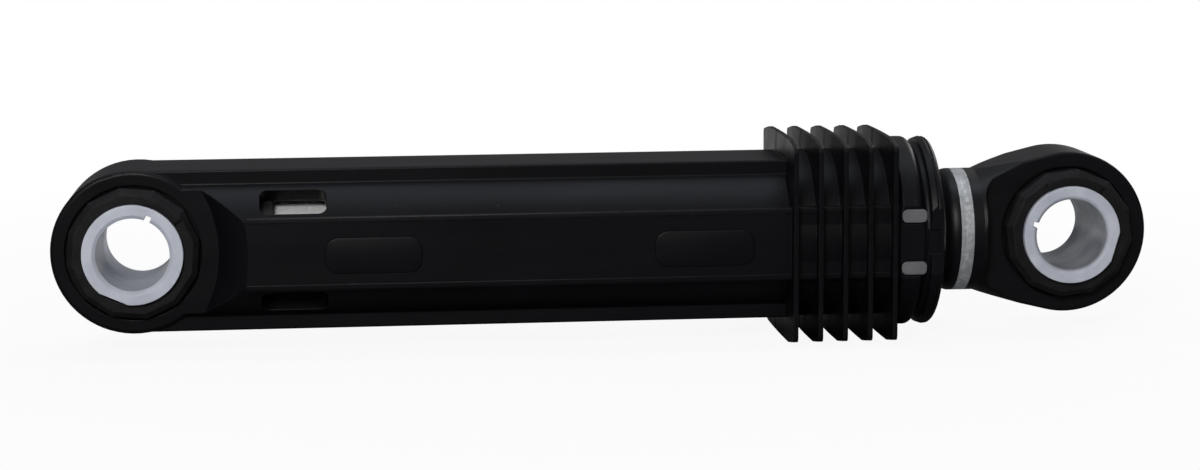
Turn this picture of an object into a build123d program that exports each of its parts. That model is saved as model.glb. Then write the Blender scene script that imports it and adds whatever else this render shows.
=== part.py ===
from build123d import *
from math import atan2, cos, radians, sin, tan
import os

os.makedirs("parts", exist_ok=True)

# A friction damper, lying along X in its closed position.
# The origin is the centre of the barrel eye, the eye bores run along Y, and Z is up.
# All sizes are in millimetres.

# Eyes and their bushes
bore_radius = 7.0
sleeve_wall = 2.6
sleeve_radius = bore_radius + sleeve_wall
sleeve_mouth_chamfer = 0.7
key_notch = 1.1
key_flat_depth = 0.45
bush_wall = 1.8
bush_core_radius = sleeve_radius + bush_wall
bush_flange_overhang = 1.4
bush_flange_radius = bush_core_radius + bush_flange_overhang
bush_flange_sides = 12
bush_bevel = 1.1
bush_pocket_gap = 0.25
bush_pocket_radius = bush_flange_radius + bush_pocket_gap
bush_pocket_depth = 1.0
barrel_eye_rim = 2.75
barrel_eye_radius = bush_pocket_radius + barrel_eye_rim
barrel_eye_half_width = 10.2
barrel_bush_half_length = 12.4
barrel_sleeve_half_length = 13.5
barrel_notch_angle = 66.0
barrel_bush_turn = 10.0
rod_eye_rim = 2.95
rod_eye_radius = bush_pocket_radius + rod_eye_rim
rod_eye_half_width = 7.5
rod_bush_half_length = 10.8
rod_sleeve_half_length = 12.0
rod_notch_angle = 164.0
rod_bush_turn = 22.0
eye_edge_round = 0.8

# Barrel body: a long octagon with a raised rail above and below
body_half_height = 15.6
rail_half_width = 9.3
rail_height = 2.8
panel_half_width = 16.2
panel_half_height = 6.4
body_edge_round = 0.35
eye_clearance_radius = 24.0
eye_clearance_reach = 16.2
eye_clearance_flare = 44.0

# Side slots, and the shallow oblong outlines moulded in the side panels
slot_start = 24.2
slot_length = 12.7
slot_height = 6.0
slot_corner = 1.6
oblong_starts = (36.6, 99.8)
oblong_lengths = (18.3, 19.2)
oblong_height = 6.9
oblong_corner = 2.6
oblong_drop = 0.5
oblong_line = 0.5
oblong_depth = 0.35

# Finned end
fin_start = 126.3
fin_pitch = 4.86
fin_count = 5
fin_thickness = 0.9
fin_half_width = 19.0
fin_half_height = 20.1
fin_crown = 0.15
fin_corner_width = 6.5
fin_corner_height = 1.1
fin_corner_round = 1.2
fin_slit_width = 0.6
fin_slit_place = 3.0

# Collar at the open end
collar_gap = 0.9
first_ring_length = 3.2
first_ring_round = 1.3
ring_groove_depth = 0.95
second_ring_round = 0.85
second_ring_length = 3.25
collar_end_round = 1.3
mouth_line_from_end = 1.1
mouth_line_radius = 0.3
collar_flat_depth = 1.4
window_length = 5.3
window_height = 3.0
window_middle = 5.1
window_corner = 1.2
window_from_end = 3.2
square_size = 2.4
square_depth = 0.5

# Cavity and rod
rod_radius = 10.0
rod_wall = 1.2
guide_wall = 2.5
barrel_bore_radius = rod_radius + guide_wall
cavity_start = 20.6
cavity_end_chamfer = 1.2
cartridge_step = 2.5
cartridge_radius = barrel_bore_radius + cartridge_step
core_wall = 1.6
core_radius = cartridge_radius + core_wall
collar_wall = 3.8
collar_radius = cartridge_radius + collar_wall
collar_flat = collar_radius - collar_flat_depth
stroke = 79.5

# Clearances
running_fit = 0.06
press_fit = 0.03
seat_gap = 0.1
stop_gap = 0.25

# Pieces on the inner end of the rod
buffer_thickness = 1.2
buffer_overhang = 0.6
buffer_radius = rod_radius + buffer_overhang
plug_flange_thickness = 1.0
plug_flange_inset = 0.4
plug_flange_radius = rod_radius - plug_flange_inset
plug_shank_inset = 2.4
plug_shank_radius = rod_radius - plug_shank_inset
plug_depth = 8.0
guide_lip_thickness = 0.9
guide_skirt = 2.5

# Pieces in the open end of the barrel
bush_flange_thickness = 0.9
rebound_ring_length = 2.0
cage_wall = 2.0
cage_end_wall = 1.2
cage_mouth_gap = 0.4
spacer_thickness = 1.4
wiper_thickness = 2.2
lining_split = 1.5
cage_split = 0.1
tab_clearance = 0.2
tab_below_flat = 0.35

# Rod head
neck_to_eye = 17.48
mouth_gap = 1.8
neck_wall = 2.2
neck_radius = rod_radius + neck_wall
neck_edge_round = 2.4
shoulder_length = 2.8
ferrule_length = 2.6
ferrule_wall = 0.9
neck_behind_ferrule = 2.1
socket_floor = 1.2
head_flare = 23.5
head_edge_round = 0.6
head_flat_inset = 0.6
head_flat_height = 10.1
head_flat_spread = 24.5
head_flat_corner = 5.0

# Places along X that follow from the sizes above
fin_places = [fin_start + index * fin_pitch for index in range(fin_count)]
collar_start = fin_places[-1] + fin_thickness + collar_gap
groove_bottom = collar_start + first_ring_length + first_ring_round
second_ring_start = groove_bottom + second_ring_round
barrel_end = second_ring_start + second_ring_length
cartridge_start = fin_start + fin_thickness
plug_start = cavity_start + buffer_thickness + stop_gap
guide_start = plug_start + plug_flange_thickness + seat_gap
rod_start = guide_start + guide_lip_thickness + seat_gap
guide_end = rod_start + guide_skirt
rebound_ring_start = guide_end + stroke + stop_gap
bearing_start = rebound_ring_start + rebound_ring_length
cage_start = cartridge_start + bush_flange_thickness + seat_gap
cage_end = barrel_end - cage_mouth_gap
head_start = barrel_end + mouth_gap
ferrule_start = head_start + shoulder_length
ferrule_end = ferrule_start + ferrule_length
neck_end = ferrule_end + neck_behind_ferrule
eye_distance = neck_end + neck_to_eye
rod_end = neck_end - socket_floor


def save(piece, name):
    piece.part.label = name
    export_step(piece.part, f"parts/{name}.step")


def tube_between(first, last, outer, inner):
    """A plain round tube along X, from first to last."""
    with BuildSketch(Plane.YZ.offset(first)) as ring:
        Circle(outer)
        Circle(inner, mode=Mode.SUBTRACT)
    extrude(ring.sketch, amount=last - first)


# Barrel housing: octagonal body
facet_angle = atan2(body_half_height - rail_height - panel_half_height, panel_half_width - rail_half_width)
rail_foot = body_half_height - rail_height
with BuildPart() as barrel_housing:
    with BuildSketch(Plane.YZ):
        with BuildLine():
            Polyline(
                (0, body_half_height),
                (rail_half_width, body_half_height),
                (rail_half_width, rail_foot),
                (panel_half_width, panel_half_height),
                (panel_half_width, 0),
                (0, 0),
                close=True,
            )
        make_face()
        mirror(about=Plane.XZ)
        mirror(about=Plane.YZ)
        fillet(vertices().filter_by(lambda v: abs(v.Y) > 1), body_edge_round)
    extrude(amount=fin_start + fin_thickness)

    # Clearance round the eye for the machine's bracket
    for side in (1, -1):
        with Locations((eye_clearance_reach - eye_clearance_radius, side * barrel_eye_half_width, 0)):
            clearance_depth = panel_half_width - barrel_eye_half_width + 1
            Cone(
                eye_clearance_radius,
                eye_clearance_radius + clearance_depth * tan(radians(eye_clearance_flare)),
                clearance_depth,
                rotation=(-90 * side, 0, 0),
                align=(Align.CENTER, Align.CENTER, Align.MIN),
                mode=Mode.SUBTRACT,
            )

    # Eye
    with BuildSketch(Plane.XY):
        with Locations((barrel_eye_radius / 2, 0)):
            Rectangle(barrel_eye_radius, 2 * barrel_eye_half_width)
        fillet(vertices().group_by(Axis.X)[-1], eye_edge_round)
    revolve(axis=Axis.Y)

    # Round core of the finned end, and the ribbed collar
    with BuildSketch(Plane.XZ):
        with BuildLine():
            rise = Polyline(
                (fin_start, 0),
                (fin_start, core_radius),
                (collar_start, core_radius),
                (collar_start, collar_radius - collar_gap / 2),
                (collar_start + collar_gap / 2, collar_radius),
                (collar_start + first_ring_length, collar_radius),
            )
            first_flank = TangentArc(
                rise @ 1, (groove_bottom, collar_radius - ring_groove_depth), tangent=(1, 0)
            )
            second_flank = TangentArc(
                first_flank @ 1, (second_ring_start, collar_radius), tangent=(1, 0), tangent_from_first=False
            )
            crest = Line(second_flank @ 1, (barrel_end - collar_end_round, collar_radius))
            rounding = RadiusArc(
                crest @ 1, (barrel_end, collar_radius - collar_end_round), collar_end_round
            )
            Polyline(rounding @ 1, (barrel_end, 0), (fin_start, 0))
        make_face()
    revolve(axis=Axis.X)

    # Fine line round the collar, close to its mouth
    with BuildSketch(Plane.XZ):
        with Locations((barrel_end - mouth_line_from_end, collar_radius)):
            Circle(mouth_line_radius)
    revolve(axis=Axis.X, mode=Mode.SUBTRACT)

    # The side panels go on between the fins
    with Locations((fin_start, 0, 0)):
        Box(
            collar_start + collar_gap - fin_start,
            2 * panel_half_width,
            2 * panel_half_height,
            align=(Align.MIN, Align.CENTER, Align.CENTER),
        )

    # Side flats of the collar
    for side in (1, -1):
        with Locations((collar_start, side * collar_flat, 0)):
            Box(
                barrel_end - collar_start,
                collar_radius,
                2 * collar_radius,
                align=(Align.MIN, Align.MIN if side > 0 else Align.MAX, Align.CENTER),
                mode=Mode.SUBTRACT,
            )

    # Cooling fins
    crown_height = fin_half_height - fin_crown
    with BuildSketch(*[Plane.YZ.offset(place) for place in fin_places]):
        with BuildLine():
            shoulder = fin_half_width - fin_corner_width
            crown = ThreePointArc((-shoulder, crown_height), (0, fin_half_height), (shoulder, crown_height))
            Polyline(
                crown @ 1,
                (fin_half_width, crown_height - fin_corner_height),
                (fin_half_width, 0),
                (-fin_half_width, 0),
                (-fin_half_width, crown_height - fin_corner_height),
                crown @ 0,
            )
        make_face()
        mirror(about=Plane.XZ)
        fillet(vertices().filter_by(lambda v: abs(v.Y) > 1), fin_corner_round)
    extrude(amount=fin_thickness)

    # Slit that the mould leaves in the top and bottom of each fin
    for height in (1, -1):
        with Locations((fin_start, fin_slit_place, height * core_radius)):
            Box(
                collar_start - fin_start,
                fin_slit_width,
                fin_half_height,
                align=(Align.MIN, Align.CENTER, Align.MIN if height > 0 else Align.MAX),
                mode=Mode.SUBTRACT,
            )

    # Cavity for the rod, and the wider pocket for the friction cartridge
    with BuildSketch(Plane.XZ):
        with BuildLine():
            Polyline(
                (cavity_start, 0),
                (cavity_start, barrel_bore_radius - cavity_end_chamfer),
                (cavity_start + cavity_end_chamfer, barrel_bore_radius),
                (cartridge_start, barrel_bore_radius),
                (cartridge_start, cartridge_radius),
                (barrel_end, cartridge_radius),
                (barrel_end, 0),
                close=True,
            )
        make_face()
    revolve(axis=Axis.X, mode=Mode.SUBTRACT)

    # Slots in the four sloping faces
    facet_middle_width = (rail_half_width + panel_half_width) / 2
    facet_middle_height = (rail_foot + panel_half_height) / 2
    for side in (1, -1):
        for height in (1, -1):
            facet = Plane(
                origin=(slot_start + slot_length / 2, side * facet_middle_width, height * facet_middle_height),
                x_dir=(1, 0, 0),
                z_dir=(0, side * sin(facet_angle), height * cos(facet_angle)),
            )
            with BuildSketch(facet):
                RectangleRounded(slot_length, slot_height, slot_corner)
            extrude(amount=-(facet_middle_width - rod_radius / 2), mode=Mode.SUBTRACT)

    # Windows for the tabs of the friction cage, and the small recess at the mouth between them
    for side in (1, -1):
        with BuildSketch(Plane.XZ.offset(side * (cartridge_radius - cage_wall))):
            with Locations((barrel_end - window_from_end - window_length / 2, 0)):
                with Locations((0, window_middle), (0, -window_middle)):
                    RectangleRounded(window_length, window_height, window_corner)
        extrude(amount=side * collar_radius, mode=Mode.SUBTRACT)
        with BuildSketch(Plane.XZ.offset(side * collar_flat)):
            with Locations((barrel_end - window_from_end + square_size / 2, 0)):
                Rectangle(square_size, 2 * square_size)
        extrude(amount=-side * square_depth, mode=Mode.SUBTRACT)

    # Oblong outlines in the side panels
    for side in (1, -1):
        with BuildSketch(Plane.XZ.offset(side * panel_half_width)):
            for start, length in zip(oblong_starts, oblong_lengths):
                with Locations((start + length / 2, -oblong_drop)):
                    RectangleRounded(length, oblong_height, oblong_corner)
                    RectangleRounded(
                        length - 2 * oblong_line,
                        oblong_height - 2 * oblong_line,
                        oblong_corner - oblong_line,
                        mode=Mode.SUBTRACT,
                    )
        extrude(amount=-side * oblong_depth, mode=Mode.SUBTRACT)

    # Hole and pockets for the rubber bush
    with BuildSketch(Plane.XZ):
        Circle(bush_core_radius)
    extrude(amount=barrel_eye_half_width, both=True, mode=Mode.SUBTRACT)
    for side in (1, -1):
        with BuildSketch(Plane.XZ.offset(side * barrel_eye_half_width)):
            Circle(bush_pocket_radius)
        extrude(amount=-side * bush_pocket_depth, mode=Mode.SUBTRACT)
save(barrel_housing, "barrel_housing")


def rubber_bush(centre, eye_half_width, half_length, turn):
    """A rubber bush: a round core in the eye, and a many-sided flange on each face."""
    with BuildPart() as bush:
        with BuildSketch(Plane.XZ):
            with Locations((centre, 0)):
                Circle(bush_core_radius - press_fit)
        extrude(amount=eye_half_width, both=True)
        flange_seat = eye_half_width - bush_pocket_depth
        for side in (1, -1):
            with BuildSketch(Plane.XZ.offset(side * flange_seat)):
                with Locations((centre, 0)):
                    RegularPolygon(bush_flange_radius, bush_flange_sides, rotation=turn)
            extrude(amount=side * (half_length - flange_seat))
            rim = faces().sort_by(Axis.Y)[-1 if side < 0 else 0].outer_wire().edges()
            chamfer(rim, bush_bevel)
        with BuildSketch(Plane.XZ):
            with Locations((centre, 0)):
                Circle(sleeve_radius + running_fit)
        extrude(amount=half_length, both=True, mode=Mode.SUBTRACT)
    return bush


def eye_sleeve(centre, half_length, notch_angle):
    """The plastic sleeve in a bush, with its key notch and, opposite, a narrow flat."""
    with BuildPart() as sleeve:
        with BuildSketch(Plane.XZ):
            with Locations((centre, 0)):
                Circle(sleeve_radius)
        extrude(amount=half_length, both=True)
        with BuildSketch(Plane.XZ):
            with Locations((centre, 0)):
                Circle(bore_radius)
        extrude(amount=half_length, both=True, mode=Mode.SUBTRACT)
        mouths = edges().filter_by(GeomType.CIRCLE)
        chamfer(mouths.filter_by(lambda e: e.radius < (bore_radius + sleeve_radius) / 2), sleeve_mouth_chamfer)
        with BuildSketch(Plane.XZ):
            with Locations((centre, 0)):
                with Locations(Rotation(0, 0, notch_angle)):
                    with Locations((bore_radius, 0)):
                        Rectangle(2 * key_notch, key_notch)
                    with Locations((key_flat_depth - sleeve_radius, 0)):
                        Rectangle(sleeve_radius, sleeve_radius, align=(Align.MAX, Align.CENTER))
        extrude(amount=half_length, both=True, mode=Mode.SUBTRACT)
    return sleeve


barrel_eye_rubber = rubber_bush(0, barrel_eye_half_width, barrel_bush_half_length, barrel_bush_turn)
save(barrel_eye_rubber, "barrel_eye_rubber")
rod_eye_rubber = rubber_bush(eye_distance, rod_eye_half_width, rod_bush_half_length, rod_bush_turn)
save(rod_eye_rubber, "rod_eye_rubber")
barrel_eye_sleeve = eye_sleeve(0, barrel_sleeve_half_length, barrel_notch_angle)
save(barrel_eye_sleeve, "barrel_eye_sleeve")
rod_eye_sleeve = eye_sleeve(eye_distance, rod_sleeve_half_length, rod_notch_angle)
save(rod_eye_sleeve, "rod_eye_sleeve")


# Rubber disc that the rod's inner end meets when the damper is fully closed
with BuildPart() as bottom_buffer:
    with BuildSketch(Plane.YZ.offset(cavity_start)):
        Circle(buffer_radius)
    extrude(amount=buffer_thickness)
    chamfer(edges().sort_by(Axis.X)[-1], buffer_thickness / 3)
save(bottom_buffer, "bottom_buffer")

# Zinc-plated steel tube
with BuildPart() as piston_rod:
    tube_between(rod_start, rod_end, rod_radius, rod_radius - rod_wall)
save(piston_rod, "piston_rod")

# Plug pressed into the tube's inner end, whose flange keeps the guide on
with BuildPart() as rod_end_plug:
    with BuildSketch(Plane.XZ):
        with BuildLine():
            Polyline(
                (plug_start, 0),
                (plug_start, plug_flange_radius),
                (plug_start + plug_flange_thickness, plug_flange_radius),
                (plug_start + plug_flange_thickness, plug_shank_radius),
                (rod_start, plug_shank_radius),
                (rod_start, rod_radius - rod_wall - press_fit),
                (rod_start + plug_depth, rod_radius - rod_wall - press_fit),
                (rod_start + plug_depth, 0),
                close=True,
            )
        make_face()
    revolve(axis=Axis.X)
save(rod_end_plug, "rod_end_plug")

# Plastic guide that carries the rod's inner end in the barrel
with BuildPart() as rod_guide:
    tube_between(guide_start, guide_end, barrel_bore_radius - running_fit, rod_radius + running_fit)
    lip_end = guide_start + guide_lip_thickness
    tube_between(guide_start, lip_end, rod_radius + 2 * running_fit, plug_shank_radius + running_fit)
save(rod_guide, "rod_guide")

# Rubber ring that the guide meets when the damper is fully open
with BuildPart() as rebound_ring:
    tube_between(
        rebound_ring_start,
        bearing_start - press_fit,
        barrel_bore_radius - 2 * seat_gap,
        rod_radius + 3 * seat_gap,
    )
save(rebound_ring, "rebound_ring")

# Flanged bearing bush for the rod, held between the barrel's step and the cage
with BuildPart() as bearing_bush:
    flange_end = cartridge_start + bush_flange_thickness
    tube_between(bearing_start, flange_end, barrel_bore_radius - press_fit, rod_radius + running_fit)
    tube_between(
        cartridge_start, flange_end, cartridge_radius - seat_gap, barrel_bore_radius - 2 * press_fit
    )
save(bearing_bush, "bearing_bush")

# Friction cage: two half shells with end walls and two tabs each
cage_radius = cartridge_radius - press_fit
cage_bore = cartridge_radius - cage_wall
for height, half_name in ((1, "friction_cage_upper"), (-1, "friction_cage_lower")):
    with BuildPart() as cage_half:
        tube_between(cage_start, cage_end, cage_radius, cage_bore)
        for wall_start in (cage_start, cage_end - cage_end_wall):
            tube_between(wall_start, wall_start + cage_end_wall, cage_bore + press_fit, rod_radius + 3 * seat_gap)
        for side in (1, -1):
            with BuildSketch(Plane.XZ.offset(side * (cage_bore + press_fit))):
                with Locations((barrel_end - window_from_end - window_length / 2, height * window_middle)):
                    RectangleRounded(
                        window_length - 2 * tab_clearance,
                        window_height - 2 * tab_clearance,
                        window_corner - tab_clearance,
                    )
            extrude(amount=side * (collar_flat - tab_below_flat - cage_bore - press_fit))
        with BuildSketch(Plane.YZ.offset(cage_start)):
            Circle(cage_bore)
        extrude(amount=cage_end - cage_start, mode=Mode.SUBTRACT)
        for wall_start in (cage_start, cage_end - cage_end_wall):
            tube_between(wall_start, wall_start + cage_end_wall, cage_bore + press_fit, rod_radius + 3 * seat_gap)
        with Locations((cage_start, 0, height * cage_split)):
            Box(
                cage_end - cage_start,
                3 * cartridge_radius,
                2 * cartridge_radius,
                align=(Align.MIN, Align.CENTER, Align.MAX if height > 0 else Align.MIN),
                mode=Mode.SUBTRACT,
            )
    save(cage_half, half_name)

# Two greased linings with a spacer between them, then the wiper at the mouth
pack_start = cage_start + cage_end_wall + seat_gap
pack_end = cage_end - cage_end_wall - seat_gap
wiper_start = pack_end - wiper_thickness
lining_length = (wiper_start - pack_start - spacer_thickness - 3 * seat_gap) / 2
spacer_start = pack_start + lining_length + seat_gap
second_lining_start = spacer_start + spacer_thickness + seat_gap
for lining_start, lining_name in (
    (pack_start, "friction_lining_inner"),
    (second_lining_start, "friction_lining_outer"),
):
    with BuildPart() as lining:
        tube_between(lining_start, lining_start + lining_length, cage_bore - seat_gap, rod_radius + running_fit)
        with Locations((lining_start, 0, rod_radius)):
            Box(lining_length, lining_split, rod_radius, align=(Align.MIN, Align.CENTER, Align.CENTER),
                mode=Mode.SUBTRACT)
    save(lining, lining_name)

with BuildPart() as lining_spacer:
    tube_between(spacer_start, spacer_start + spacer_thickness, cage_bore - seat_gap, rod_radius + 3 * seat_gap)
save(lining_spacer, "lining_spacer")

with BuildPart() as mouth_wiper:
    tube_between(wiper_start, pack_end, cage_bore - seat_gap, rod_radius + running_fit)
save(mouth_wiper, "mouth_wiper")


# Rod head: a flat-sided plate round the eye, and a round neck over the tube
with BuildPart() as rod_head:
    widening = atan2(rod_eye_radius - neck_radius, eye_distance - neck_end)
    touch_x = eye_distance - rod_eye_radius * sin(widening)
    touch_z = rod_eye_radius * cos(widening)
    with BuildSketch(Plane.XZ):
        with BuildLine():
            Polyline(
                (ferrule_end, neck_radius),
                (neck_end, neck_radius),
                (touch_x, touch_z),
                (eye_distance, 0),
                (touch_x, -touch_z),
                (neck_end, -neck_radius),
                (ferrule_end, -neck_radius),
                close=True,
            )
        make_face()
    extrude(amount=rod_eye_half_width, both=True)
    fillet(edges().filter_by(lambda e: abs(e.center().Z) > neck_radius), head_edge_round)

    # Eye
    with BuildSketch(Plane.XY):
        with Locations((eye_distance + rod_eye_radius / 2, 0)):
            Rectangle(rod_eye_radius, 2 * rod_eye_half_width)
        fillet(vertices().group_by(Axis.X)[-1], head_edge_round)
    revolve(axis=Axis((eye_distance, 0, 0), (0, 1, 0)))

    # Full-depth stock beside the neck, whose flat faces are let in with rounded corners
    stock_height = neck_radius + head_flat_corner * (touch_z - neck_radius) / (touch_x - neck_end)
    with BuildSketch(Plane.XZ):
        with BuildLine():
            Polyline(
                (ferrule_end, neck_radius),
                (neck_end, neck_radius),
                (neck_end + head_flat_corner, stock_height),
                (neck_end + head_flat_corner, -stock_height),
                (neck_end, -neck_radius),
                (ferrule_end, -neck_radius),
                close=True,
            )
        make_face()
    extrude(amount=neck_radius, both=True)
    flat_start = neck_end + head_flat_inset
    flat_reach = neck_end + 2 * head_flat_corner
    flat_end_height = head_flat_height + (flat_reach - flat_start) * tan(radians(head_flat_spread))
    for side in (1, -1):
        with BuildSketch(Plane.XZ.offset(side * rod_eye_half_width)):
            with BuildLine():
                Polyline(
                    (flat_start, head_flat_height),
                    (flat_reach, flat_end_height),
                    (flat_reach, -flat_end_height),
                    (flat_start, -head_flat_height),
                    close=True,
                )
            make_face()
            fillet(vertices().group_by(Axis.X)[0], head_flat_corner)
        extrude(amount=side * neck_radius, mode=Mode.SUBTRACT)

    # Plate and stock are turned down to a cone where they meet the neck
    with BuildSketch(Plane.XZ):
        with BuildLine():
            Polyline(
                (ferrule_end, neck_radius),
                (neck_end, neck_radius),
                (touch_x, neck_radius + (touch_x - neck_end) * tan(radians(head_flare))),
                (touch_x, 3 * rod_eye_radius),
                (ferrule_end, 3 * rod_eye_radius),
                close=True,
            )
        make_face()
    revolve(axis=Axis.X, mode=Mode.SUBTRACT)

    # Neck, with the groove for the ferrule
    with BuildSketch(Plane.XZ):
        with BuildLine():
            start = Line((head_start, 0), (head_start, neck_radius - neck_edge_round))
            rounding = RadiusArc(start @ 1, (head_start + neck_edge_round, neck_radius), neck_edge_round)
            Polyline(
                rounding @ 1,
                (ferrule_start, neck_radius),
                (ferrule_start, neck_radius - ferrule_wall),
                (ferrule_end, neck_radius - ferrule_wall),
                (ferrule_end, neck_radius),
                (neck_end, neck_radius),
                (neck_end, 0),
                start @ 0,
            )
        make_face()
    revolve(axis=Axis.X)

    # Socket for the tube
    with BuildSketch(Plane.YZ.offset(head_start)):
        Circle(rod_radius + press_fit)
    extrude(amount=rod_end + press_fit - head_start, mode=Mode.SUBTRACT)

    # Hole and pockets for the rubber bush
    with BuildSketch(Plane.XZ):
        with Locations((eye_distance, 0)):
            Circle(bush_core_radius)
    extrude(amount=rod_eye_half_width, both=True, mode=Mode.SUBTRACT)
    for side in (1, -1):
        with BuildSketch(Plane.XZ.offset(side * rod_eye_half_width)):
            with Locations((eye_distance, 0)):
                Circle(bush_pocket_radius)
        extrude(amount=-side * bush_pocket_depth, mode=Mode.SUBTRACT)
save(rod_head, "rod_head")

# Zinc-plated ring crimped round the neck, which locks the head on the tube
with BuildPart() as neck_ferrule:
    tube_between(
        ferrule_start + press_fit,
        ferrule_end - press_fit,
        neck_radius,
        neck_radius - ferrule_wall + press_fit,
    )
save(neck_ferrule, "neck_ferrule")
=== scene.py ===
from math import cos, radians, sin

import bmesh
import bpy
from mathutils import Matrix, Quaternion, Vector


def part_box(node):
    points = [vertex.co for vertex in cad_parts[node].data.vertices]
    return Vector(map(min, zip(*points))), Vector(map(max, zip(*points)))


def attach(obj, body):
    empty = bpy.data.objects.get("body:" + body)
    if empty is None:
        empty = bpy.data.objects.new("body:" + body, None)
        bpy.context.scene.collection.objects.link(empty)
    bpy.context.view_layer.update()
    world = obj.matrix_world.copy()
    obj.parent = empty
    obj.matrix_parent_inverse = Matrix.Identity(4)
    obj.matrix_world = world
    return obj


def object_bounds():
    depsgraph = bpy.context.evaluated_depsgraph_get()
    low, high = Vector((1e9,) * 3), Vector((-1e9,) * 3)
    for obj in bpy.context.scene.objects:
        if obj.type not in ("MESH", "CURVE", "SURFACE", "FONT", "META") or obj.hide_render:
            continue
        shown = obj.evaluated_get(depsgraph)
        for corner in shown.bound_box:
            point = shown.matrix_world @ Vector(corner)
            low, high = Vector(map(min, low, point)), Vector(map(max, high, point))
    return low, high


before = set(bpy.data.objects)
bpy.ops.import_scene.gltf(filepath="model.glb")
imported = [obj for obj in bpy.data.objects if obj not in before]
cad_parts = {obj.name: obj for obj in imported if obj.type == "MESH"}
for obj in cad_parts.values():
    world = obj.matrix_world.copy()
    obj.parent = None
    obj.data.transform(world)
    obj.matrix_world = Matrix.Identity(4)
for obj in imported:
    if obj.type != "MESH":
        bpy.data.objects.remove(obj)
cad_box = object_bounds()


# Camera, at the photograph's viewing angle

CAMERA_PLACE = Vector((0.04045, -0.52170, 0.07600))
CAMERA_AIM = Vector((0.0947, 0.9851, -0.1432))
CAMERA_ROLL = radians(-0.38)
SENSOR_WIDTH = 36.0
FOCAL_PER_WIDTH = 2673 / 1200
DAMPER_MIDDLE = Vector((0.09, 0.0, 0.0))


def make_camera():
    data = bpy.data.cameras.new("camera")
    data.sensor_width = SENSOR_WIDTH
    data.sensor_fit = "HORIZONTAL"
    data.lens = SENSOR_WIDTH * FOCAL_PER_WIDTH
    data.clip_start = 0.01
    camera = bpy.data.objects.new("camera", data)
    bpy.context.collection.objects.link(camera)
    camera.location = CAMERA_PLACE
    camera.rotation_mode = "QUATERNION"
    aimed = CAMERA_AIM.to_track_quat("-Z", "Y")
    camera.rotation_quaternion = aimed @ Quaternion((0, 0, 1), CAMERA_ROLL)
    bpy.context.scene.camera = camera


make_camera()


# Places on the barrel and the eyes, in metres, and the shares of a slope's normal

SLOPE_LOW = 0.0064
SLOPE_HIGH = 0.0128
PANEL_FACE = 0.0162
FIN_START = 0.1263
SLOT_START = 0.0241
SLOT_END = 0.0370
SLOT_WALL_REACH = 0.0153
SLOPE_FACING = (0.71, 0.76)
LEVEL_ALONG = (0.0, 0.02)
FACING_MARGIN = 0.02
PLACE_MARGIN = 0.0002
BORE_RADIUS = 0.0070
rod_eye_x = sum(corner.x for corner in map(Vector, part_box("rod_eye_sleeve"))) / 2


# Nodes that every finish uses

def new_finish(name):
    """A material with its Principled shader, and nothing else linked yet."""
    finish = bpy.data.materials.new(name)
    finish.use_nodes = True
    return finish, finish.node_tree, finish.node_tree.nodes["Principled BSDF"]


def object_place(tree, stretch=(1, 1, 1), shift=(0, 0, 0)):
    """Object coordinates in metres, stretched along X, Y and Z and shifted."""
    coordinates = tree.nodes.new("ShaderNodeTexCoord")
    mapping = tree.nodes.new("ShaderNodeMapping")
    mapping.inputs["Scale"].default_value = stretch
    mapping.inputs["Location"].default_value = shift
    tree.links.new(coordinates.outputs["Object"], mapping.inputs["Vector"])
    return mapping.outputs["Vector"]


def cloudy(tree, place, scale, detail=3.0, roughness=0.5):
    noise = tree.nodes.new("ShaderNodeTexNoise")
    noise.inputs["Scale"].default_value = scale
    noise.inputs["Detail"].default_value = detail
    noise.inputs["Roughness"].default_value = roughness
    tree.links.new(place, noise.inputs["Vector"])
    return noise.outputs["Fac"]


def cells(tree, place, scale, output="Color"):
    voronoi = tree.nodes.new("ShaderNodeTexVoronoi")
    voronoi.inputs["Scale"].default_value = scale
    tree.links.new(place, voronoi.inputs["Vector"])
    return voronoi.outputs[output]


def stretch_range(tree, value, low, high, to_low=0.0, to_high=1.0):
    """The range low to high becomes to_low to to_high, and is cut off outside it."""
    spread = tree.nodes.new("ShaderNodeMapRange")
    spread.inputs["From Min"].default_value = low
    spread.inputs["From Max"].default_value = high
    spread.inputs["To Min"].default_value = to_low
    spread.inputs["To Max"].default_value = to_high
    tree.links.new(value, spread.inputs["Value"])
    return spread.outputs["Result"]


def two_values(tree, operation, first, second):
    sum_node = tree.nodes.new("ShaderNodeMath")
    sum_node.operation = operation
    for socket, value in zip(sum_node.inputs, (first, second)):
        if isinstance(value, (int, float)):
            socket.default_value = value
        else:
            tree.links.new(value, socket)
    return sum_node.outputs[0]


def mix_colours(tree, share, first, second):
    """From the first colour to the second, by share; either may be a colour or a socket."""
    mix = tree.nodes.new("ShaderNodeMix")
    mix.data_type = "RGBA"
    tree.links.new(share, mix.inputs["Factor"])
    for socket, colour in ((mix.inputs[6], first), (mix.inputs[7], second)):
        if isinstance(colour, tuple):
            socket.default_value = (*colour, 1)
        else:
            tree.links.new(colour, socket)
    return mix.outputs[2]


def rounded_edges(tree, radius):
    """A normal that rounds each sharp edge over this radius."""
    bevel = tree.nodes.new("ShaderNodeBevel")
    bevel.samples = 6
    bevel.inputs["Radius"].default_value = radius
    return bevel.outputs["Normal"]


def edge_share(tree, rounded):
    """One along a rounded edge, zero on the flats beside it."""
    geometry = tree.nodes.new("ShaderNodeNewGeometry")
    facing = tree.nodes.new("ShaderNodeVectorMath")
    facing.operation = "DOT_PRODUCT"
    tree.links.new(geometry.outputs["Normal"], facing.inputs[0])
    tree.links.new(rounded, facing.inputs[1])
    return stretch_range(tree, facing.outputs["Value"], 0.995, 0.9)


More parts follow.
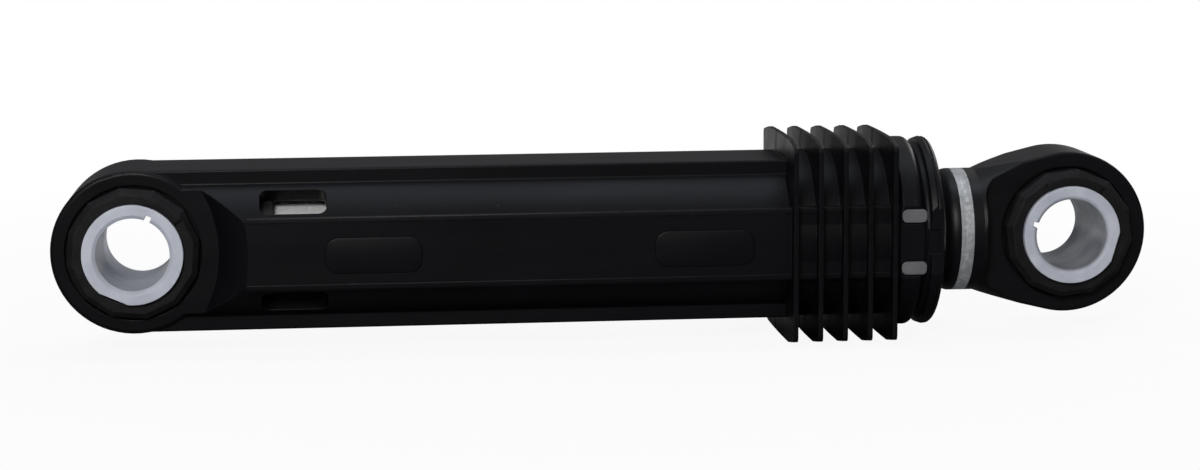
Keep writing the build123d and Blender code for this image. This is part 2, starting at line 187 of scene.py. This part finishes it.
def upward_share(tree, low, high):
    """One on surfaces that face up, zero on those that don't."""
    geometry = tree.nodes.new("ShaderNodeNewGeometry")
    parts = tree.nodes.new("ShaderNodeSeparateXYZ")
    tree.links.new(geometry.outputs["Normal"], parts.inputs[0])
    return stretch_range(tree, parts.outputs["Z"], low, high)


def within(tree, value, low, high, margin):
    """One where the size of the value is between low and high, zero outside."""
    size = two_values(tree, "ABSOLUTE", value, 0.0)
    return two_values(tree, "MULTIPLY", stretch_range(tree, size, low - margin, low),
                      stretch_range(tree, size, high + margin, high))


def slope_bulge(tree):
    """One along the middle of each sloping side of the barrel, falling to zero at its edges."""
    place = tree.nodes.new("ShaderNodeSeparateXYZ")
    tree.links.new(object_place(tree), place.inputs[0])
    facing = tree.nodes.new("ShaderNodeSeparateXYZ")
    geometry = tree.nodes.new("ShaderNodeNewGeometry")
    tree.links.new(geometry.outputs["Normal"], facing.inputs[0])
    height = two_values(tree, "ABSOLUTE", place.outputs["Z"], 0.0)
    from_middle = stretch_range(tree, height, SLOPE_LOW, SLOPE_HIGH, -1.0, 1.0)
    squared = two_values(tree, "MULTIPLY", from_middle, from_middle)
    bulge = two_values(tree, "SUBTRACT", 1.0, squared)
    sloping = two_values(tree, "MULTIPLY",
                         within(tree, facing.outputs["Z"], *SLOPE_FACING, FACING_MARGIN),
                         within(tree, facing.outputs["X"], *LEVEL_ALONG, FACING_MARGIN))
    on_body = stretch_range(tree, place.outputs["X"], FIN_START, FIN_START - PLACE_MARGIN)
    return two_values(tree, "MULTIPLY", bulge,
                      two_values(tree, "MULTIPLY", sloping, on_body))


def slot_walls(tree):
    """One on the walls of the barrel's slots and on its inside there, zero outside: where painted
    shade darkens the housing.
    """
    distance = tree.nodes.new("ShaderNodeVectorMath")
    distance.operation = "LENGTH"
    tree.links.new(object_place(tree, stretch=(0, 1, 1)), distance.inputs[0])
    place = tree.nodes.new("ShaderNodeSeparateXYZ")
    tree.links.new(object_place(tree), place.inputs[0])
    near_axis = stretch_range(tree, distance.outputs["Value"],
                              SLOT_WALL_REACH + 0.0003, SLOT_WALL_REACH)
    return two_values(tree, "MULTIPLY", near_axis,
                      within(tree, place.outputs["X"], SLOT_START, SLOT_END, 0.0001))


def bore_wall(tree, eye_x):
    """One on the wall of the bore of the sleeve at eye_x, zero outside the bore: where the painted
    shade goes.
    """
    distance = tree.nodes.new("ShaderNodeVectorMath")
    distance.operation = "LENGTH"
    around_eye = object_place(tree, stretch=(1, 0, 1), shift=(-eye_x, 0, 0))
    tree.links.new(around_eye, distance.inputs[0])
    return stretch_range(tree, distance.outputs["Value"],
                         BORE_RADIUS + 0.0004, BORE_RADIUS + 0.0001)


def raise_surface(tree, shader, start, heights):
    """Bumps one over the other, each a height from 0 to 1 and its depth in metres."""
    normal = start
    for height, depth in heights:
        bump = tree.nodes.new("ShaderNodeBump")
        bump.inputs["Strength"].default_value = 1.0
        bump.inputs["Distance"].default_value = depth
        tree.links.new(height, bump.inputs["Height"])
        if normal is not None:
            tree.links.new(normal, bump.inputs["Normal"])
        normal = bump.outputs["Normal"]
    tree.links.new(normal, shader.inputs["Normal"])


# Finishes

def tinted(colour, share):
    return tuple(share * part for part in colour)


BLACK = (0.0022, 0.0023, 0.0032)
RUBBED_BLACK = (0.022, 0.022, 0.024)
DUST = (0.07, 0.068, 0.064)
# painted shade for the walls of the barrel's slots and the inside seen through them
SLOT_PAINTED_SHADE = (0.0003, 0.0003, 0.0004)
SLOPE_BULGE = 0.00055


def moulded_black_plastic(name, shift, gloss=0.15, sloping_sides=False):
    """Glass-filled black plastic: spark grain, slow flow waves, rubbed edges, some dust; with
    sloping_sides, painted shade in the slots.
    """
    finish, tree, shader = new_finish(name)
    place = object_place(tree, shift=shift)
    along = object_place(tree, stretch=(0.12, 1, 1), shift=shift)
    rounded = rounded_edges(tree, 0.00028)
    rubbed = two_values(tree, "MULTIPLY", edge_share(tree, rounded),
                        stretch_range(tree, cloudy(tree, place, 260, 4), 0.42, 0.66))
    flow = cloudy(tree, along, 190, 3, 0.45)
    patches = stretch_range(tree, cloudy(tree, place, 55, 4), 0.35, 0.68)
    specks = stretch_range(tree, cloudy(tree, place, 1500, 2, 0.4), 0.73, 0.79)
    dust = two_values(tree, "MULTIPLY", specks, upward_share(tree, -0.1, 0.9))
    body = mix_colours(tree, patches, BLACK, tinted(BLACK, 1.45))
    worn = mix_colours(tree, two_values(tree, "MULTIPLY", rubbed, 0.55), body, RUBBED_BLACK)
    skin = mix_colours(tree, two_values(tree, "MULTIPLY", dust, 0.5), worn, DUST)
    if sloping_sides:
        # painted shade: the slot walls and the inside seen through the slots are darkened to near
        # black
        skin = mix_colours(tree, slot_walls(tree), skin, SLOT_PAINTED_SHADE)
    tree.links.new(skin, shader.inputs["Base Color"])
    rough = two_values(tree, "ADD", stretch_range(tree, flow, 0.3, 0.7, 0.37, 0.46),
                       two_values(tree, "MULTIPLY", rubbed, -0.08))
    tree.links.new(two_values(tree, "ADD", rough, two_values(tree, "MULTIPLY", dust, 0.3)),
                   shader.inputs["Roughness"])
    shader.inputs["Specular IOR Level"].default_value = gloss
    heights = [(flow, 0.00006), (cloudy(tree, place, 2600, 2, 0.6), 0.000012)]
    if sloping_sides:
        heights.insert(0, (slope_bulge(tree), SLOPE_BULGE))
    raise_surface(tree, shader, rounded, heights)
    return finish


def bush_rubber(name, shift):
    """Black rubber: matt, with a faint grey bloom and a coarse skin."""
    finish, tree, shader = new_finish(name)
    place = object_place(tree, shift=shift)
    rounded = rounded_edges(tree, 0.0004)
    bloom = stretch_range(tree, cloudy(tree, place, 320, 5, 0.6), 0.42, 0.72)
    grain = cloudy(tree, place, 1700, 3, 0.6)
    rubbed = edge_share(tree, rounded)
    body = mix_colours(tree, bloom, (0.0052, 0.0052, 0.0060), (0.0098, 0.0098, 0.0108))
    worn = mix_colours(tree, two_values(tree, "MULTIPLY", rubbed, 0.5), body,
                       (0.024, 0.024, 0.026))
    tree.links.new(worn, shader.inputs["Base Color"])
    tree.links.new(stretch_range(tree, grain, 0.3, 0.7, 0.55, 0.72), shader.inputs["Roughness"])
    shader.inputs["Specular IOR Level"].default_value = 0.18
    raise_surface(tree, shader, rounded, (
        (cloudy(tree, place, 240, 3), 0.00012),
        (grain, 0.00003),
    ))
    return finish


def natural_nylon(name, shift, light, shade, eye_x=None):
    """Natural nylon with handling marks: a little light goes in; painted shade darkens the bore at
    eye_x.
    """
    finish, tree, shader = new_finish(name)
    place = object_place(tree, shift=shift)
    rounded = rounded_edges(tree, 0.0003)
    cloud = stretch_range(tree, cloudy(tree, place, 170, 4), 0.34, 0.68)
    smudge = stretch_range(tree, cloudy(tree, place, 620, 5, 0.65), 0.60, 0.78, 0.0, 0.35)
    body = mix_colours(tree, cloud, light, shade)
    if eye_x is not None:
        # painted shade: the bore wall is darkened where shade falls inside the eye
        bore_painted_shade = mix_colours(tree, cloud, tinted(light, 0.58), tinted(shade, 0.48))
        body = mix_colours(tree, bore_wall(tree, eye_x), body, bore_painted_shade)
    tree.links.new(mix_colours(tree, smudge, body, tinted(shade, 0.72)),
                   shader.inputs["Base Color"])
    tree.links.new(stretch_range(tree, cloudy(tree, place, 420, 4), 0.3, 0.7, 0.32, 0.5),
                   shader.inputs["Roughness"])
    shader.inputs["Subsurface Weight"].default_value = 0.35
    shader.inputs["Subsurface Radius"].default_value = (1.0, 0.95, 0.9)
    shader.inputs["Subsurface Scale"].default_value = 0.0016
    raise_surface(tree, shader, rounded, (
        (cloudy(tree, place, 380, 3), 0.00004),
        (cloudy(tree, place, 2400, 2), 0.000008),
    ))
    return finish


def zinc_plated_steel(name, shift, stretch, dull, light, film, rough=0.42, glitter=0.000012):
    """Zinc plate: small bright crystals, rolled streaks, duller patches and a pale film."""
    finish, tree, shader = new_finish(name)
    place = object_place(tree, shift=shift)
    streaked = object_place(tree, stretch=stretch, shift=shift)
    crystals = cells(tree, place, 1500)
    crystal_share = tree.nodes.new("ShaderNodeSeparateColor")
    tree.links.new(crystals, crystal_share.inputs[0])
    sparkle = crystal_share.outputs[0]
    streaks = cloudy(tree, streaked, 900, 4, 0.6)
    stain = stretch_range(tree, cloudy(tree, place, 230, 5, 0.6), 0.44, 0.70)
    bright = mix_colours(tree, sparkle, dull, light)
    streaky = mix_colours(tree, stretch_range(tree, streaks, 0.42, 0.62, 0.0, 0.6), bright,
                          tinted(dull, 0.85))
    stained = mix_colours(tree, two_values(tree, "MULTIPLY", stain, 0.45), streaky,
                          tinted(dull, 0.6))
    tree.links.new(stained, shader.inputs["Base Color"])
    shader.inputs["Metallic"].default_value = 1.0 - film
    dulled = two_values(tree, "ADD", stretch_range(tree, streaks, 0.3, 0.7, rough, rough + 0.14),
                        two_values(tree, "MULTIPLY", stain, 0.12))
    tree.links.new(dulled, shader.inputs["Roughness"])
    raise_surface(tree, shader, rounded_edges(tree, 0.0002), (
        (streaks, 0.00002),
        (sparkle, glitter),
        (cloudy(tree, place, 3200, 2), 0.00001),
    ))
    return finish


def dark_acetal(name):
    """Dark slippery plastic of the guide and the bearing bush, turned smooth where it runs."""
    finish, tree, shader = new_finish(name)
    place = object_place(tree)
    rings = object_place(tree, stretch=(1, 0.05, 0.05))
    turned = cloudy(tree, rings, 2600, 2)
    cloud = stretch_range(tree, cloudy(tree, place, 210, 4), 0.35, 0.7)
    tree.links.new(mix_colours(tree, cloud, (0.0045, 0.0047, 0.0055), (0.0080, 0.0082, 0.0092)),
                   shader.inputs["Base Color"])
    tree.links.new(stretch_range(tree, turned, 0.3, 0.7, 0.28, 0.42), shader.inputs["Roughness"])
    raise_surface(tree, shader, rounded_edges(tree, 0.0002), ((turned, 0.00002),))
    return finish


def greased_foam(name):
    """Open-cell foam soaked with amber grease: round pores with painted shade in them, wet between
    them.
    """
    finish, tree, shader = new_finish(name)
    place = object_place(tree)
    pores = cells(tree, place, 1300, "Distance")
    open_pore = stretch_range(tree, pores, 0.18, 0.55)
    grease = stretch_range(tree, cloudy(tree, place, 260, 4), 0.4, 0.62)
    # painted shade: the middle of each pore is darkened as a hole in shade; the foam itself is the
    # pale colour
    dry_with_painted_pore_shade = mix_colours(tree, open_pore, (0.10, 0.085, 0.06), (0.40, 0.36, 0.27))
    tree.links.new(mix_colours(tree, grease, dry_with_painted_pore_shade, (0.26, 0.17, 0.06)), shader.inputs["Base Color"])
    tree.links.new(stretch_range(tree, grease, 0.0, 1.0, 0.85, 0.30), shader.inputs["Roughness"])
    raise_surface(tree, shader, None, (
        (open_pore, 0.00025),
        (cloudy(tree, place, 3000, 2), 0.00004),
    ))
    return finish


def wiper_felt(name):
    """Pressed grey felt: crossing fibres, with grease taken up in patches."""
    finish, tree, shader = new_finish(name)
    place = object_place(tree)
    fibres = two_values(tree, "MAXIMUM",
                        cloudy(tree, object_place(tree, stretch=(1, 0.15, 0.6)), 3200, 3),
                        cloudy(tree, object_place(tree, stretch=(0.6, 1, 0.15)), 3200, 3))
    soaked = stretch_range(tree, cloudy(tree, place, 300, 3), 0.42, 0.66)
    loose = mix_colours(tree, stretch_range(tree, fibres, 0.4, 0.75),
                        (0.13, 0.125, 0.115), (0.36, 0.35, 0.32))
    felted = mix_colours(tree, soaked, loose, (0.12, 0.09, 0.05))
    tree.links.new(felted, shader.inputs["Base Color"])
    shader.inputs["Roughness"].default_value = 0.95
    shader.inputs["Sheen Weight"].default_value = 0.25
    raise_surface(tree, shader, None, ((fibres, 0.00012),))
    return finish


housing_plastic = moulded_black_plastic("housing_plastic", (0, 0, 0), sloping_sides=True)
head_plastic = moulded_black_plastic("head_plastic", (0.4, 0.3, 0.2), gloss=0.22)
barrel_bush_rubber = bush_rubber("barrel_bush_rubber", (0, 0, 0))
rod_bush_rubber = bush_rubber("rod_bush_rubber", (0.7, 0.2, 0.5))
stop_rubber = bush_rubber("stop_rubber", (0.2, 0.6, 0.1))
barrel_sleeve_nylon = natural_nylon("barrel_sleeve_nylon", (0, 0, 0),
                                    light=(0.55, 0.57, 0.63), shade=(0.46, 0.48, 0.54))
rod_sleeve_nylon = natural_nylon("rod_sleeve_nylon", (0.3, 0.1, 0.4),
                                 light=(0.54, 0.56, 0.62), shade=(0.42, 0.44, 0.50),
                                 eye_x=rod_eye_x)
cage_nylon = natural_nylon("cage_nylon", (0.5, 0.8, 0.2),
                           light=(0.15, 0.15, 0.16), shade=(0.10, 0.10, 0.11))
tube_zinc = zinc_plated_steel("tube_zinc", (0, 0, 0), stretch=(0.08, 1, 1), film=0.55,
                              dull=(0.80, 0.81, 0.81), light=(0.97, 0.98, 0.97),
                              rough=0.34, glitter=0.00004)
ferrule_zinc = zinc_plated_steel("ferrule_zinc", (0.2, 0.5, 0.3), stretch=(1, 0.12, 0.12), film=0.6,
                                 dull=(0.34, 0.35, 0.36), light=(0.56, 0.57, 0.58))
guide_acetal = dark_acetal("guide_acetal")
lining_foam = greased_foam("lining_foam")
mouth_felt = wiper_felt("mouth_felt")

finish_of_node = {
    "barrel_housing": housing_plastic,
    "rod_head": head_plastic,
    "barrel_eye_rubber": barrel_bush_rubber,
    "rod_eye_rubber": rod_bush_rubber,
    "barrel_eye_sleeve": barrel_sleeve_nylon,
    "rod_eye_sleeve": rod_sleeve_nylon,
    "friction_cage_upper": cage_nylon,
    "friction_cage_lower": cage_nylon,
    "lining_spacer": cage_nylon,
    "friction_lining_inner": lining_foam,
    "friction_lining_outer": lining_foam,
    "mouth_wiper": mouth_felt,
    "bearing_bush": guide_acetal,
    "rod_guide": guide_acetal,
    "rod_end_plug": guide_acetal,
    "bottom_buffer": stop_rubber,
    "rebound_ring": stop_rubber,
    "piston_rod": tube_zinc,
    "neck_ferrule": ferrule_zinc,
}
for node, finish in finish_of_node.items():
    mesh = bpy.data.objects[node].data
    mesh.materials.clear()
    mesh.materials.append(finish)


# Trim moulded on the barrel and the bushes

def block(name, low, high):
    """A cube from corner to corner, with its place in its mesh."""
    low, high = Vector(low), Vector(high)
    bpy.ops.object.select_all(action="DESELECT")
    bpy.ops.mesh.primitive_cube_add(size=1, location=(low + high) / 2)
    piece = bpy.context.object
    piece.name = piece.data.name = name
    piece.scale = high - low
    bpy.ops.object.transform_apply(location=True, rotation=True, scale=True)
    return piece


def round_edges(piece, chosen, width, segments):
    """Bevels each edge for which chosen(its middle, its direction) is true."""
    bpy.ops.object.mode_set(mode="EDIT")
    bpy.ops.mesh.select_mode(type="EDGE")
    bpy.ops.mesh.select_all(action="DESELECT")
    mesh = bmesh.from_edit_mesh(piece.data)
    for edge in mesh.edges:
        first, last = (corner.co for corner in edge.verts)
        edge.select_set(bool(chosen((first + last) / 2, (last - first).normalized())))
    bmesh.update_edit_mesh(piece.data)
    bpy.ops.mesh.bevel(offset=width, segments=segments, affect="EDGES")
    bpy.ops.object.mode_set(mode="OBJECT")


def face_outwards(piece):
    bpy.ops.object.mode_set(mode="EDIT")
    bpy.ops.mesh.select_all(action="SELECT")
    bpy.ops.mesh.remove_doubles(threshold=0.000001)
    bpy.ops.mesh.normals_make_consistent(inside=False)
    bpy.ops.object.mode_set(mode="OBJECT")


def mirrored_copy(piece, name, sides):
    """The same piece on the other side of the damper's middle planes, with its own mesh."""
    bpy.ops.object.select_all(action="DESELECT")
    piece.select_set(True)
    bpy.context.view_layer.objects.active = piece
    bpy.ops.object.duplicate()
    copy = bpy.context.object
    copy.name = copy.data.name = name
    bpy.ops.transform.resize(value=sides, center_override=(0, 0, 0))
    bpy.ops.object.transform_apply(location=True, rotation=True, scale=True)
    face_outwards(copy)
    return copy


def finish_piece(piece, body, finish):
    piece.data.materials.clear()
    piece.data.materials.append(finish)
    bpy.ops.object.select_all(action="DESELECT")
    piece.select_set(True)
    bpy.context.view_layer.objects.active = piece
    bpy.ops.object.shade_smooth_by_angle(angle=radians(35))
    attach(piece, body)


LEDGE_START = 0.0214
LEDGE_END = 0.1478
LEDGE_FACE = 0.01626
LEDGE_ROOT = 0.0149
LEDGE_LOW = 0.0059
LEDGE_HIGH = 0.00712
LEDGE_ROUND = 0.0003
LEDGE_FRONT = 0.016
LEDGE_TOP = 0.007
LEDGE_TIP = 0.0215


def make_panel_ledges():
    """The thin ledge along the top and bottom of each side panel, from the eye to the collar."""
    ledge = block("panel_ledge_front_upper", (LEDGE_START, -LEDGE_FACE, LEDGE_LOW),
                  (LEDGE_END, -LEDGE_ROOT, LEDGE_HIGH))
    round_edges(ledge, lambda middle, along: (abs(along.x) > 0.9 and middle.y < -LEDGE_FRONT
                                              and middle.z > LEDGE_TOP), LEDGE_ROUND, 4)
    round_edges(ledge, lambda middle, along: middle.x < LEDGE_TIP and middle.y < -LEDGE_FRONT,
                LEDGE_ROUND, 3)
    face_outwards(ledge)
    ledges = [ledge]
    for name, sides in (("panel_ledge_front_lower", (1, 1, -1)),
                        ("panel_ledge_back_upper", (1, -1, 1)),
                        ("panel_ledge_back_lower", (1, -1, -1))):
        ledges.append(mirrored_copy(ledge, name, sides))
    for piece in ledges:
        finish_piece(piece, "barrel", housing_plastic)


PAD_PLACES = (("eye", 0.0365, 0.0550), ("fin", 0.0997, 0.1191))
PAD_FACE = PANEL_FACE + 0.00026
PAD_ROOT = PANEL_FACE - 0.0004
PAD_LOW = -0.0040
PAD_HIGH = 0.0030
PAD_CORNER = 0.0026
PAD_ROUND = 0.0002


def make_panel_pads():
    """The two oblong pads that stand a little proud of each side panel."""
    for place, start, end in PAD_PLACES:
        pad = block(f"panel_pad_front_{place}", (start, -PAD_FACE, PAD_LOW),
                    (end, -PAD_ROOT, PAD_HIGH))
        round_edges(pad, lambda middle, along: abs(along.y) > 0.9, PAD_CORNER, 8)
        round_edges(pad, lambda middle, along: middle.y < -PANEL_FACE - 0.0002, PAD_ROUND, 3)
        for piece in (pad, mirrored_copy(pad, f"panel_pad_back_{place}", (1, -1, 1))):
            finish_piece(piece, "barrel", housing_plastic)


BARREL_FLANGE_FACE = 0.0124
ROD_FLANGE_FACE = 0.0108
FLANGE_STEP_INNER = 0.00975
FLANGE_STEP_OUTER = 0.0115
FLANGE_STEP_RISE = 0.0006
FLANGE_STEP_ROOT = 0.0004


def make_flange_step(name, eye_x, flange_face, start, span, body, finish):
    """The stretch of a bush's flange that stands a step higher: a profile spun round the eye.

    It starts at the angle start, in degrees, and goes clockwise as the camera sees it.
    """
    turn = radians(start)
    middle = (FLANGE_STEP_INNER + FLANGE_STEP_OUTER) / 2
    bpy.ops.object.select_all(action="DESELECT")
    bpy.ops.mesh.primitive_plane_add(
        size=1,
        location=(eye_x + middle * cos(turn),
                  (FLANGE_STEP_ROOT - FLANGE_STEP_RISE) / 2 - flange_face,
                  middle * sin(turn)),
        rotation=(0, -turn, 0))
    step = bpy.context.object
    step.name = step.data.name = f"{name}_front"
    step.scale = (FLANGE_STEP_OUTER - FLANGE_STEP_INNER, FLANGE_STEP_ROOT + FLANGE_STEP_RISE, 1)
    bpy.ops.object.transform_apply(location=True, rotation=True, scale=True)
    bpy.ops.object.mode_set(mode="EDIT")
    bpy.ops.mesh.select_all(action="SELECT")
    bpy.ops.mesh.spin(steps=10, angle=radians(span), center=(eye_x, 0, 0), axis=(0, -1, 0))
    bpy.ops.object.mode_set(mode="OBJECT")
    face_outwards(step)
    crest = -flange_face - 0.9 * FLANGE_STEP_RISE
    round_edges(step, lambda middle, along: middle.y < crest, 0.00012, 2)
    for piece in (step, mirrored_copy(step, f"{name}_back", (1, -1, 1))):
        finish_piece(piece, body, finish)


make_panel_ledges()
make_panel_pads()
make_flange_step("barrel_flange_step", 0.0, BARREL_FLANGE_FACE, start=79, span=44,
                 body="barrel", finish=barrel_bush_rubber)
make_flange_step("rod_flange_step", rod_eye_x, ROD_FLANGE_FACE, start=117, span=62,
                 body="rod", finish=rod_bush_rubber)


# Light

def area_light(name, place, size, width, power, colour):
    data = bpy.data.lights.new(name, "AREA")
    data.shape = "RECTANGLE"
    data.size = size
    data.size_y = width
    data.energy = power
    data.color = colour
    light = bpy.data.objects.new(name, data)
    bpy.context.collection.objects.link(light)
    light.location = place
    light.visible_camera = False
    light.rotation_mode = "QUATERNION"
    light.rotation_quaternion = (DAMPER_MIDDLE - Vector(place)).to_track_quat("-Z", "Y")


SOFTBOXES = (
    ("key_softbox", (-0.15, -0.76, 0.42), 0.25, 0.25, 4.8, (1.0, 0.99, 0.98)),
    ("top_softbox", (0.10, 0.06, 0.75), 0.90, 0.30, 2.0, (0.84, 0.89, 1.0)),
    ("back_softbox", (0.66, 0.56, 0.46), 0.40, 0.40, 2.2, (1.0, 1.0, 1.0)),
)
for softbox in SOFTBOXES:
    area_light(*softbox)


STUDIO_COLOUR = (0.92, 0.95, 1.0, 1)
STUDIO_STRENGTH = 0.07
GLOSS_OVERHEAD = 0.30
GLOSS_BEHIND = 0.06


def studio_world():
    """White where the camera looks past the floor, and a soft studio elsewhere."""
    world = bpy.data.worlds.new("studio")
    bpy.context.scene.world = world
    world.use_nodes = True
    tree = world.node_tree
    tree.nodes.clear()
    out = tree.nodes.new("ShaderNodeOutputWorld")
    plain = tree.nodes.new("ShaderNodeBackground")
    plain.inputs["Color"].default_value = STUDIO_COLOUR
    plain.inputs["Strength"].default_value = STUDIO_STRENGTH
    white = tree.nodes.new("ShaderNodeBackground")
    white.inputs["Color"].default_value = (1, 1, 1, 1)
    white.inputs["Strength"].default_value = 1.0
    path = tree.nodes.new("ShaderNodeLightPath")
    direction = tree.nodes.new("ShaderNodeTexCoord")
    parts = tree.nodes.new("ShaderNodeSeparateXYZ")
    tree.links.new(direction.outputs["Generated"], parts.inputs[0])
    raised = stretch_range(tree, parts.outputs["Z"], 0.1, 1.0, 0.0, GLOSS_OVERHEAD)
    behind = stretch_range(tree, parts.outputs["Y"], -0.2, 1.0, 0.0, GLOSS_BEHIND)
    gloss = two_values(tree, "MULTIPLY", path.outputs["Is Glossy Ray"],
                       two_values(tree, "ADD", raised, behind))
    eye = two_values(tree, "MAXIMUM", path.outputs["Is Camera Ray"],
                     path.outputs["Is Transmission Ray"])
    mix = tree.nodes.new("ShaderNodeMixShader")
    tree.links.new(two_values(tree, "MAXIMUM", eye, gloss), mix.inputs[0])
    tree.links.new(plain.outputs[0], mix.inputs[1])
    tree.links.new(white.outputs[0], mix.inputs[2])
    tree.links.new(mix.outputs[0], out.inputs["Surface"])


studio_world()


# Floor

FLOOR_GAP = 0.0002
FLOOR_SIZE = 6
FLOOR_COLOUR = (0.8, 0.8, 0.8)
FLOOR_COLOUR_IN_GLOSS = (0.12, 0.12, 0.12)
FLOOR_GLOSS = 0.6
PAPER_SHARE_NEAR = 0.92


def pale_floor_finish():
    """A pale matt floor that the camera sees as white paper, with the damper's shadow on it."""
    finish, tree, shader = new_finish("pale_floor")
    shader.inputs["Roughness"].default_value = 0.9
    out = tree.nodes["Material Output"]
    path = tree.nodes.new("ShaderNodeLightPath")
    depth = tree.nodes.new("ShaderNodeSeparateXYZ")
    tree.links.new(object_place(tree), depth.inputs[0])
    tree.links.new(mix_colours(tree, path.outputs["Is Glossy Ray"],
                               FLOOR_COLOUR, FLOOR_COLOUR_IN_GLOSS), shader.inputs["Base Color"])
    gloss = two_values(tree, "MULTIPLY", path.outputs["Is Glossy Ray"],
                       stretch_range(tree, depth.outputs["Y"], 0.0, 0.14, 0.0, FLOOR_GLOSS))
    paper = tree.nodes.new("ShaderNodeEmission")
    paper.inputs["Strength"].default_value = 1.0
    place = object_place(tree, shift=(-DAMPER_MIDDLE.x, 0, 0))
    reach = tree.nodes.new("ShaderNodeVectorMath")
    reach.operation = "LENGTH"
    tree.links.new(place, reach.inputs[0])
    paper_share = stretch_range(tree, reach.outputs["Value"], 0.10, 0.30, PAPER_SHARE_NEAR, 1.0)
    eye = two_values(tree, "MAXIMUM", path.outputs["Is Camera Ray"],
                     path.outputs["Is Transmission Ray"])
    mix = tree.nodes.new("ShaderNodeMixShader")
    seen = two_values(tree, "MULTIPLY", eye, paper_share)
    tree.links.new(two_values(tree, "MAXIMUM", seen, gloss), mix.inputs[0])
    tree.links.new(shader.outputs[0], mix.inputs[1])
    tree.links.new(paper.outputs[0], mix.inputs[2])
    tree.links.new(mix.outputs[0], out.inputs["Surface"])
    return finish


bpy.ops.object.select_all(action="DESELECT")
bpy.ops.mesh.primitive_plane_add(size=FLOOR_SIZE, location=(0, 0, cad_box[0][2] - FLOOR_GAP))
floor = bpy.context.object
floor.name = "floor"
floor.data.materials.append(pale_floor_finish())

bpy.context.scene.view_settings.view_transform = "Standard"
